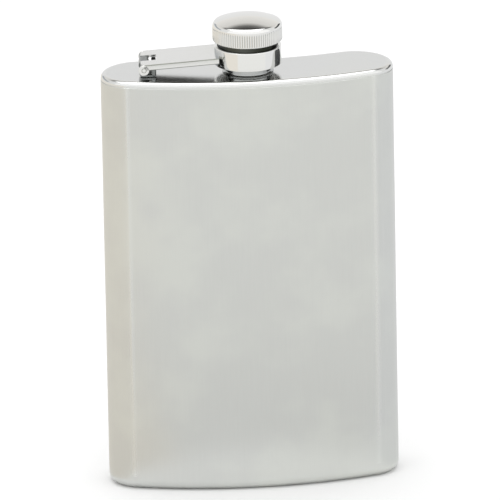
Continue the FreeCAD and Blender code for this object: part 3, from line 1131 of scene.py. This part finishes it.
    def make_pin(self) -> bpy.types.Object:
        """Pin along Y: profile (radius, y) spun about the pin's axis, domed at both ends.

        Returns:
            The pin, with a crease attribute that is 1 round the edges of its heads.
        """
        rise = 0.2 * MM
        half = self.arm_width / 2 + rise
        head = self.pin_radius + 0.15 * MM
        profile = [(0.02 * MM, -half)]
        profile += [(head * math.sin(t), -half + rise * (1 - math.cos(t)))
                    for t in np.linspace(0.15, math.pi / 2, 8)]
        profile += [(self.pin_radius, rise - half)]
        profile += [(radius, -y) for radius, y in profile[::-1]]
        radius, y = np.array(profile).T
        turns = full_turn(48)
        x = self.pin[0] + radius[:, None] * np.cos(turns)
        z = self.pin[1] + radius[:, None] * np.sin(turns)
        rings = np.stack([x, np.broadcast_to(self.axis_y + y[:, None], x.shape), z], axis=2)
        piece = loft("pin", rings, wrap_rings=False)
        # Painted shade round the edges of the pin's heads.
        edge = (radius > 0.75 * head)[:, None]
        paint(piece, "painted_crease_shade", np.broadcast_to(edge, x.shape).astype(float))
        return piece

    def build(self, fitter: Fitter) -> None:
        """Makes and dresses the hinge's pieces."""
        fitter.fit(self.turned(self.make_foot()), "hinge_base", SHADED_DARK_STEEL)
        fitter.fit(self.turned(self.make_arm()), "arm", ARM_STEEL, ARM_INSIDE_SHADE)
        fitter.fit(self.turned(self.make_pin()), "hinge_pin", ARM_STEEL)


# ---- collar and cap ------------------------------------------------------------------------
@dataclass
class Cap:
    """Collar, knurled cap, its liner, gasket and retaining ring.

    Attributes:
        axis_xy: Where the neck's axis stands.
        knurls: Number of grooves round the head.
        knurl_depth: Depth of the grooves.
        head_bevel: Bevel at the head's lower edge.
        head_height: Lower face to the start of the rounded edge.
        head_edge: Radius of the rounded edge.
        sleeve: Outer radius of the sleeve.
        sleeve_wall: Wall of the sleeve.
        groove_depth: Depth of the retaining ring's groove in the sleeve.
        ring_split: Half of the retaining ring's opening.
        running_gap: Room between the sleeve and the collar.
        collar_wall: Wall of the collar round its counterbore.
        head_wall: Wall of the head.
        liner_bore: Radius at the root of the liner's thread.
        gasket_bore: Radius of the gasket's hole.
        dome_sphere: Radius of the dome's sphere.
        thread: The inner thread.
    """

    axis_xy: np.ndarray
    knurls: int = 88
    knurl_depth: float = 0.27 * MM
    head_bevel: float = 0.45 * MM
    head_height: float = 4.7 * MM
    head_edge: float = 1.7 * MM
    sleeve: float = 9.7 * MM
    sleeve_wall: float = 0.8 * MM
    groove_depth: float = 0.4 * MM
    ring_split: float = 1.0 * MM
    running_gap: float = 0.1 * MM
    collar_wall: float = 0.5 * MM
    head_wall: float = 0.9 * MM
    liner_bore: float = 8.25 * MM
    gasket_bore: float = 5.0 * MM
    dome_sphere: float = 29.5 * MM
    thread: Thread = field(default_factory=Thread)

    def dome(self, edge: float, apex: float, steps: int) -> Profile:
        """Spherical cap from its edge towards the axis: drop = R - sqrt(R^2 - r^2)."""
        radius = np.linspace(edge, AXIS_HOLE, steps + 1)
        drop = self.dome_sphere - np.sqrt(self.dome_sphere ** 2 - radius ** 2)
        return list(zip(radius, apex - drop))

    def make_collar(self) -> bpy.types.Object:
        """Ring with rounded outer edges, a bore and a counterbore, spun as one closed loop."""
        box = Box.of("collar")
        ring = Box.of("retaining_ring")
        outer, low, top = box.size[0] / 2, box.low[2], box.high[2]
        bore = self.sleeve + self.running_gap
        counterbore, step = outer - self.collar_wall, ring.high[2] + 0.1 * MM
        edge, small, break_edge = 0.4 * MM, 0.2 * MM, 0.1 * MM
        profile = [(counterbore, low)]
        profile += arc((outer - small, low + small), small, -90, 0, 5)
        profile += line((outer, low + small), (outer, top - edge), 6)[1:]
        profile += arc((outer - edge, top - edge), edge, 0, 90, 8)[1:]
        profile += [(bore + break_edge, top), (bore, top - break_edge),
                    (bore, step), (counterbore, step)]
        return loft("collar_ring", spun(profile, full_turn(192), self.axis_xy))

    def make_shell(self) -> bpy.types.Object:
        """Sleeve, groove, knurled head and dome, with the hollow inside.

        The knurl takes depth * (1 - |2 frac - 1|)^1.5 off the radius, where frac is the share of
        one groove's pitch, and fades out at the lower bevel and on the rounded edge.

        Returns:
            The shell, with an attribute that is 1 on the sleeve and faint on the knurl, deepest
            in its grooves, where painted shade darkens the colour.
        """
        box, ring, collar = Box.of("cap_shell"), Box.of("retaining_ring"), Box.of("collar")
        head, low, top = box.size[0] / 2, box.low[2], box.high[2]
        slope = math.asin((head - self.head_edge) / (self.dome_sphere - self.head_edge))
        dome_edge = self.dome_sphere * math.sin(slope)
        rim = top - self.dome_sphere * (1 - math.cos(slope)) - self.head_edge * math.cos(slope)
        under = rim - self.head_height
        bevel = self.head_bevel
        bore = self.sleeve - self.sleeve_wall
        groove = self.sleeve - self.groove_depth
        lip = 0.16 * MM
        profile = [(bore, low), (self.sleeve - lip, low), (self.sleeve, low + lip),
                   (self.sleeve, ring.low[2]), (groove, ring.low[2]), (groove, ring.high[2]),
                   (self.sleeve, ring.high[2]), (self.sleeve, collar.high[2]),
                   (self.sleeve, under)]
        profile += arc((head - bevel, under + bevel), bevel, -90, 0, 6)
        profile += line((head, under + bevel), (head, rim), 8)[1:]
        rounded = 90 - math.degrees(slope)
        profile += arc((head - self.head_edge, rim), self.head_edge, 0, rounded, 14)[1:]
        profile += self.dome(dome_edge, top, 26)[1:]
        profile += self.dome(bore, top - self.head_wall, 8)[::-1]
        turns = full_turn(self.knurls * 8)
        rings = spun(profile, turns, self.axis_xy)
        radius, z = (np.array(column)[:, None] for column in zip(*profile))
        share = (turns * self.knurls / (2 * math.pi)) % 1
        fade = smooth_step(z, under + 0.1 * MM, under + bevel) * (1 - smooth_step(z, rim - bevel, rim))
        band = fade * (radius > head - bevel)
        cut = (1 - np.abs(2 * share - 1)) ** 1.5 * band
        rings[:, :, 0] -= self.knurl_depth * cut * np.cos(turns)
        rings[:, :, 1] -= self.knurl_depth * cut * np.sin(turns)
        piece = loft("cap_head", rings, sharp_degrees=40.0)
        # Painted shade: dark on the sleeve under the head, faint over the knurl, deeper in its grooves.
        sleeve = (radius < self.sleeve + NEAR) & (z < under + NEAR)
        paint(piece, "painted_recess_shade", sleeve + 0.05 * band + 0.13 * cut)
        return piece

    def make_liner(self) -> bpy.types.Object:
        """Plug with an inner thread: the bore's radius is its root less the ridge's height."""
        box, gasket = Box.of("cap_insert"), Box.of("gasket")
        low, top, outer = box.low[2], box.high[2], box.size[0] / 2
        seat = gasket.high[2]
        thread_low, thread_high = low + 0.6 * MM, gasket.low[2] - 0.3 * MM
        profile = [(AXIS_HOLE, seat), (self.liner_bore, seat)]
        profile += line((self.liner_bore, thread_high), (self.liner_bore, thread_low), 52)
        profile += [(self.liner_bore + 0.2 * MM, low), (outer, low), (outer, top), (AXIS_HOLE, top)]
        turns = full_turn(192)
        rings = spun(profile, turns, self.axis_xy)
        radius, z = (np.array(column)[:, None] for column in zip(*profile))
        ridge = self.thread.height(turns, z, thread_low, thread_high)
        ridge = ridge * (np.abs(radius - self.liner_bore) < NEAR) * (z < thread_high + NEAR)
        rings[:, :, 0] -= ridge * np.cos(turns)
        rings[:, :, 1] -= ridge * np.sin(turns)
        return loft("liner", rings, sharp_degrees=50.0)

    def make_gasket(self) -> bpy.types.Object:
        """Flat washer with rounded edges."""
        box = Box.of("gasket")
        outer, inner = box.size[0] / 2, self.gasket_bore
        low, top, edge = box.low[2], box.high[2], 0.2 * MM
        profile = arc((outer - edge, low + edge), edge, -90, 0, 4)
        profile += arc((outer - edge, top - edge), edge, 0, 90, 4)
        profile += arc((inner + edge, top - edge), edge, 90, 180, 4)
        profile += arc((inner + edge, low + edge), edge, 180, 270, 4)
        return loft("seal", spun(profile, full_turn(128), self.axis_xy))

    def make_ring(self) -> bpy.types.Object:
        """Split ring: a rounded bar carried round most of a turn, closed at both ends."""
        box = Box.of("retaining_ring")
        outer, inner = box.size[1] / 2, self.sleeve - self.groove_depth
        low, top, edge = box.low[2], box.high[2], 0.12 * MM
        section = arc((outer - edge, low + edge), edge, -90, 0, 3)
        section += arc((outer - edge, top - edge), edge, 0, 90, 3)
        section += [(inner, top), (inner, low)]
        half_gap = math.asin(self.ring_split / outer)
        turns = np.linspace(half_gap, 2 * math.pi - half_gap, 120)
        rings = spun(section, turns, self.axis_xy).transpose(1, 0, 2)
        return loft("snap_ring", rings, wrap_rings=False)

    def build(self, fitter: Fitter) -> None:
        """Makes and dresses the collar and the cap's pieces."""
        fitter.fit(self.make_collar(), "collar", MIRROR_STEEL)
        fitter.fit(self.make_shell(), "cap_shell", MIRROR_STEEL)
        fitter.fit(self.make_liner(), "cap_insert", LINER)
        fitter.fit(self.make_gasket(), "gasket", SEAL)
        fitter.fit(self.make_ring(), "retaining_ring", SHADED_DARK_STEEL)


# ---- studio --------------------------------------------------------------------------------
@dataclass
class ReflectorCard:
    """A studio card that only shows in reflections.

    It is a surface of revolution through part of a turn about the object: profile points
    (distance, height) swept between two azimuths, where 0 is straight in front and 90 is
    on the +X side.

    Attributes:
        name: Name of the card.
        first: First azimuth in degrees.
        last: Last azimuth in degrees.
        profile: Points (distance, height) in metres.
        colour: Colour of its light.
        radiance: Brightness of its light.
        levels: Share of the brightness at each profile point, or empty for 1 all over.
    """

    name: str
    first: float
    last: float
    profile: Profile
    colour: tuple[float, float, float]
    radiance: float
    levels: tuple[float, ...] = ()

    def build(self) -> None:
        """Makes the card and hides it from everything but glossy rays."""
        turn = np.radians(np.linspace(self.first, self.last, 24))
        distance, height = np.array(self.profile).T
        x = distance[:, None] * np.sin(turn)
        y = -distance[:, None] * np.cos(turn)
        z = np.broadcast_to(height[:, None], x.shape)
        points = np.stack([x, y, z], axis=2).reshape(-1, 3)
        faces = grid_faces(len(distance), len(turn), False, False).tolist()
        card = make_object(self.name, points, faces)
        material = bpy.data.materials.new(self.name)
        material.use_nodes = True
        tree = material.node_tree
        tree.nodes.clear()
        nodes = Nodes(tree)
        levels = np.array(self.levels or [1.0] * len(distance))
        paint(card, "level", np.broadcast_to(levels[:, None], x.shape))
        level = nodes.add("Attribute", attribute_name="level").outputs["Fac"]
        strength = nodes.math("MULTIPLY", level, self.radiance)
        glow = nodes.add("Emission", Color=(*self.colour, 1.0), Strength=strength)
        nodes.add("OutputMaterial", Surface=glow.outputs[0])
        card.data.materials.append(material)
        card.visible_camera = False
        card.visible_diffuse = False
        card.visible_shadow = False
        card.visible_transmission = False


@dataclass
class Studio:
    """Pale floor, soft light, reflector cards and the camera.

    Attributes:
        target: Point that the camera's direction is measured from.
        azimuth: Camera's azimuth in degrees, 0 looking along +Y.
        elevation: Camera's height over the horizon in degrees.
        roll: Camera's roll in degrees.
        distance: Camera's distance from the target.
        lens: Focal length in millimetres.
        aim: How far the picture's centre lies from the target, right and up.
    """

    target: np.ndarray
    azimuth: float = -5.62
    elevation: float = 18.77
    roll: float = 1.07
    distance: float = 3.829
    lens: float = 848.3
    aim: tuple[float, float] = (-0.00059, 0.00807)

    def make_camera(self) -> None:
        """Places the camera: its axes come from azimuth, elevation and roll."""
        turn, lift, roll = (math.radians(v) for v in (self.azimuth, self.elevation, self.roll))
        right = np.array([math.cos(turn), math.sin(turn), 0])
        back = np.array([math.sin(turn) * math.cos(lift), -math.cos(turn) * math.cos(lift), math.sin(lift)])
        up = np.cross(back, right)
        across = right * math.cos(roll) - up * math.sin(roll)
        upwards = right * math.sin(roll) + up * math.cos(roll)
        place = self.target + back * self.distance + across * self.aim[0] + upwards * self.aim[1]
        data = bpy.data.cameras.new("camera")
        data.lens = self.lens
        data.sensor_width = 36.0
        camera = bpy.data.objects.new("camera", data)
        pose = Matrix(np.column_stack([across, upwards, back]).tolist()).to_4x4()
        pose.translation = Vector(place)
        camera.matrix_world = pose
        bpy.context.scene.collection.objects.link(camera)
        bpy.context.scene.camera = camera

    def make_floor(self) -> None:
        """Round pale floor: rings of points about the origin."""
        turns = full_turn(64)
        profile = [(0.001, 0.0), (0.5, 0.0), (8.0, 0.0)]
        rings = spun(profile, turns, np.zeros(2))
        faces = grid_faces(3, 64, False, True).tolist() + [list(range(64))]
        floor = make_object("floor", rings.reshape(-1, 3), faces)
        for polygon in floor.data.polygons:
            if polygon.normal.z < 0:
                polygon.flip()
        material = bpy.data.materials.new("floor_paper")
        material.use_nodes = True
        shader = material.node_tree.nodes["Principled BSDF"]
        shader.inputs["Base Color"].default_value = (0.95, 0.95, 0.95, 1)
        shader.inputs["Roughness"].default_value = 0.9
        shader.inputs["Specular IOR Level"].default_value = 0.0
        floor.data.materials.append(material)

    def make_light(self) -> None:
        """Even surroundings and one large overhead softbox."""
        world = bpy.data.worlds.new("surroundings")
        world.use_nodes = True
        background = world.node_tree.nodes["Background"]
        background.inputs["Color"].default_value = (1.0, 1.0, 1.0, 1.0)
        background.inputs["Strength"].default_value = 0.90
        bpy.context.scene.world = world
        data = bpy.data.lights.new("softbox", "AREA")
        data.shape = "RECTANGLE"
        data.size = 1.6
        data.size_y = 1.3
        data.energy = 9.0
        softbox = bpy.data.objects.new("softbox", data)
        softbox.location = (-0.1, 0.04, 1.6)
        bpy.context.scene.collection.objects.link(softbox)

    def make_cards(self) -> None:
        """Cards that give the polished parts something to mirror."""
        sill = 0.0004
        swept = [(0.052, sill), (0.10, sill), (0.22, sill), (0.5, sill), (0.5, 0.16)]
        nearer = (0.80, 0.86, 0.95, 1.0, 1.0)
        beside = (0.90, 0.93, 0.97, 1.0, 1.0)
        level = self.target[2] * 2
        aimed = [(0.8, level + 0.8 * math.tan(math.radians(angle))) for angle in (11, 25)]
        over = [(0.9, level + 0.9 * math.tan(math.radians(angle))) for angle in (8, 67)]
        fading = [(1.2, level + 1.2 * math.tan(math.radians(angle)))
                  for angle in (22, 43, 50, 55, 58, 63.5)]
        shares = (0.92, 0.76, 0.20, 0.08, 0.05, 0.05)
        cards = [
            ReflectorCard("warm_card", -165, -40, swept, (1.0, 0.955, 0.88), 0.94, beside),
            ReflectorCard("front_card", -40, 56, swept, (1.0, 1.0, 0.985), 0.97, nearer),
            ReflectorCard("grey_card", 56, 170, swept, (0.985, 0.99, 1.0), 0.93, beside),
            ReflectorCard("sky_card", -75, 75, over, (1.0, 1.0, 1.0), 1.15),
            ReflectorCard("right_flag", 100, 140, aimed, (0.9, 0.95, 1.0), 0.05),
            ReflectorCard("left_flag", -158, -104, aimed, (0.9, 0.95, 1.0), 0.50),
            ReflectorCard("gap_strip", 110, 250, fading, (1.0, 0.98, 0.95), 1.0, shares),
        ]
        for card in cards:
            card.build()

    def build(self) -> None:
        """Sets up everything round the object."""
        bpy.context.scene.view_settings.view_transform = "Standard"
        self.make_camera()
        self.make_floor()
        self.make_light()
        self.make_cards()


def corners(bounds: tuple) -> list[list[float]]:
    """Lowest and highest corner as plain lists of numbers."""
    return [[float(value) for value in corner] for corner in bounds]


def main() -> None:
    """Builds the flask's sub-assemblies in order, then the studio."""
    logging.basicConfig(level=logging.INFO, format="%(message)s", stream=sys.stdout)
    wall, shoulder, collar = Box.of("body_wall"), Box.of("shoulder_plate"), Box.of("collar")
    axis_xy = collar.centre[:2]
    deck = shoulder.high[2]
    half_thickness = axis_xy[1] - wall.low[1]
    side_line_offset = KidneySection.side_line_offset
    section = KidneySection(wall.size[0] / 2, half_thickness, axis_xy[1],
                            wall.high[1] - axis_xy[1] - side_line_offset)
    fitter = Fitter(Groups(axis_xy))
    pin = Box.of("hinge_pin").centre
    aside = pin[:2] - axis_xy
    turn = math.degrees(math.atan2(aside[1], -aside[0]))
    FlaskBody(section).build(fitter)
    Spout(axis_xy, deck).build(fitter)
    Hinge((-np.hypot(*aside), pin[2]), axis_xy[1], deck, collar.size[0] / 2, turn).build(fitter)
    Cap(axis_xy).build(fitter)
    Studio(np.array([axis_xy[0], axis_xy[1], deck / 2])).build()


if __name__ == "__main__":
    main()
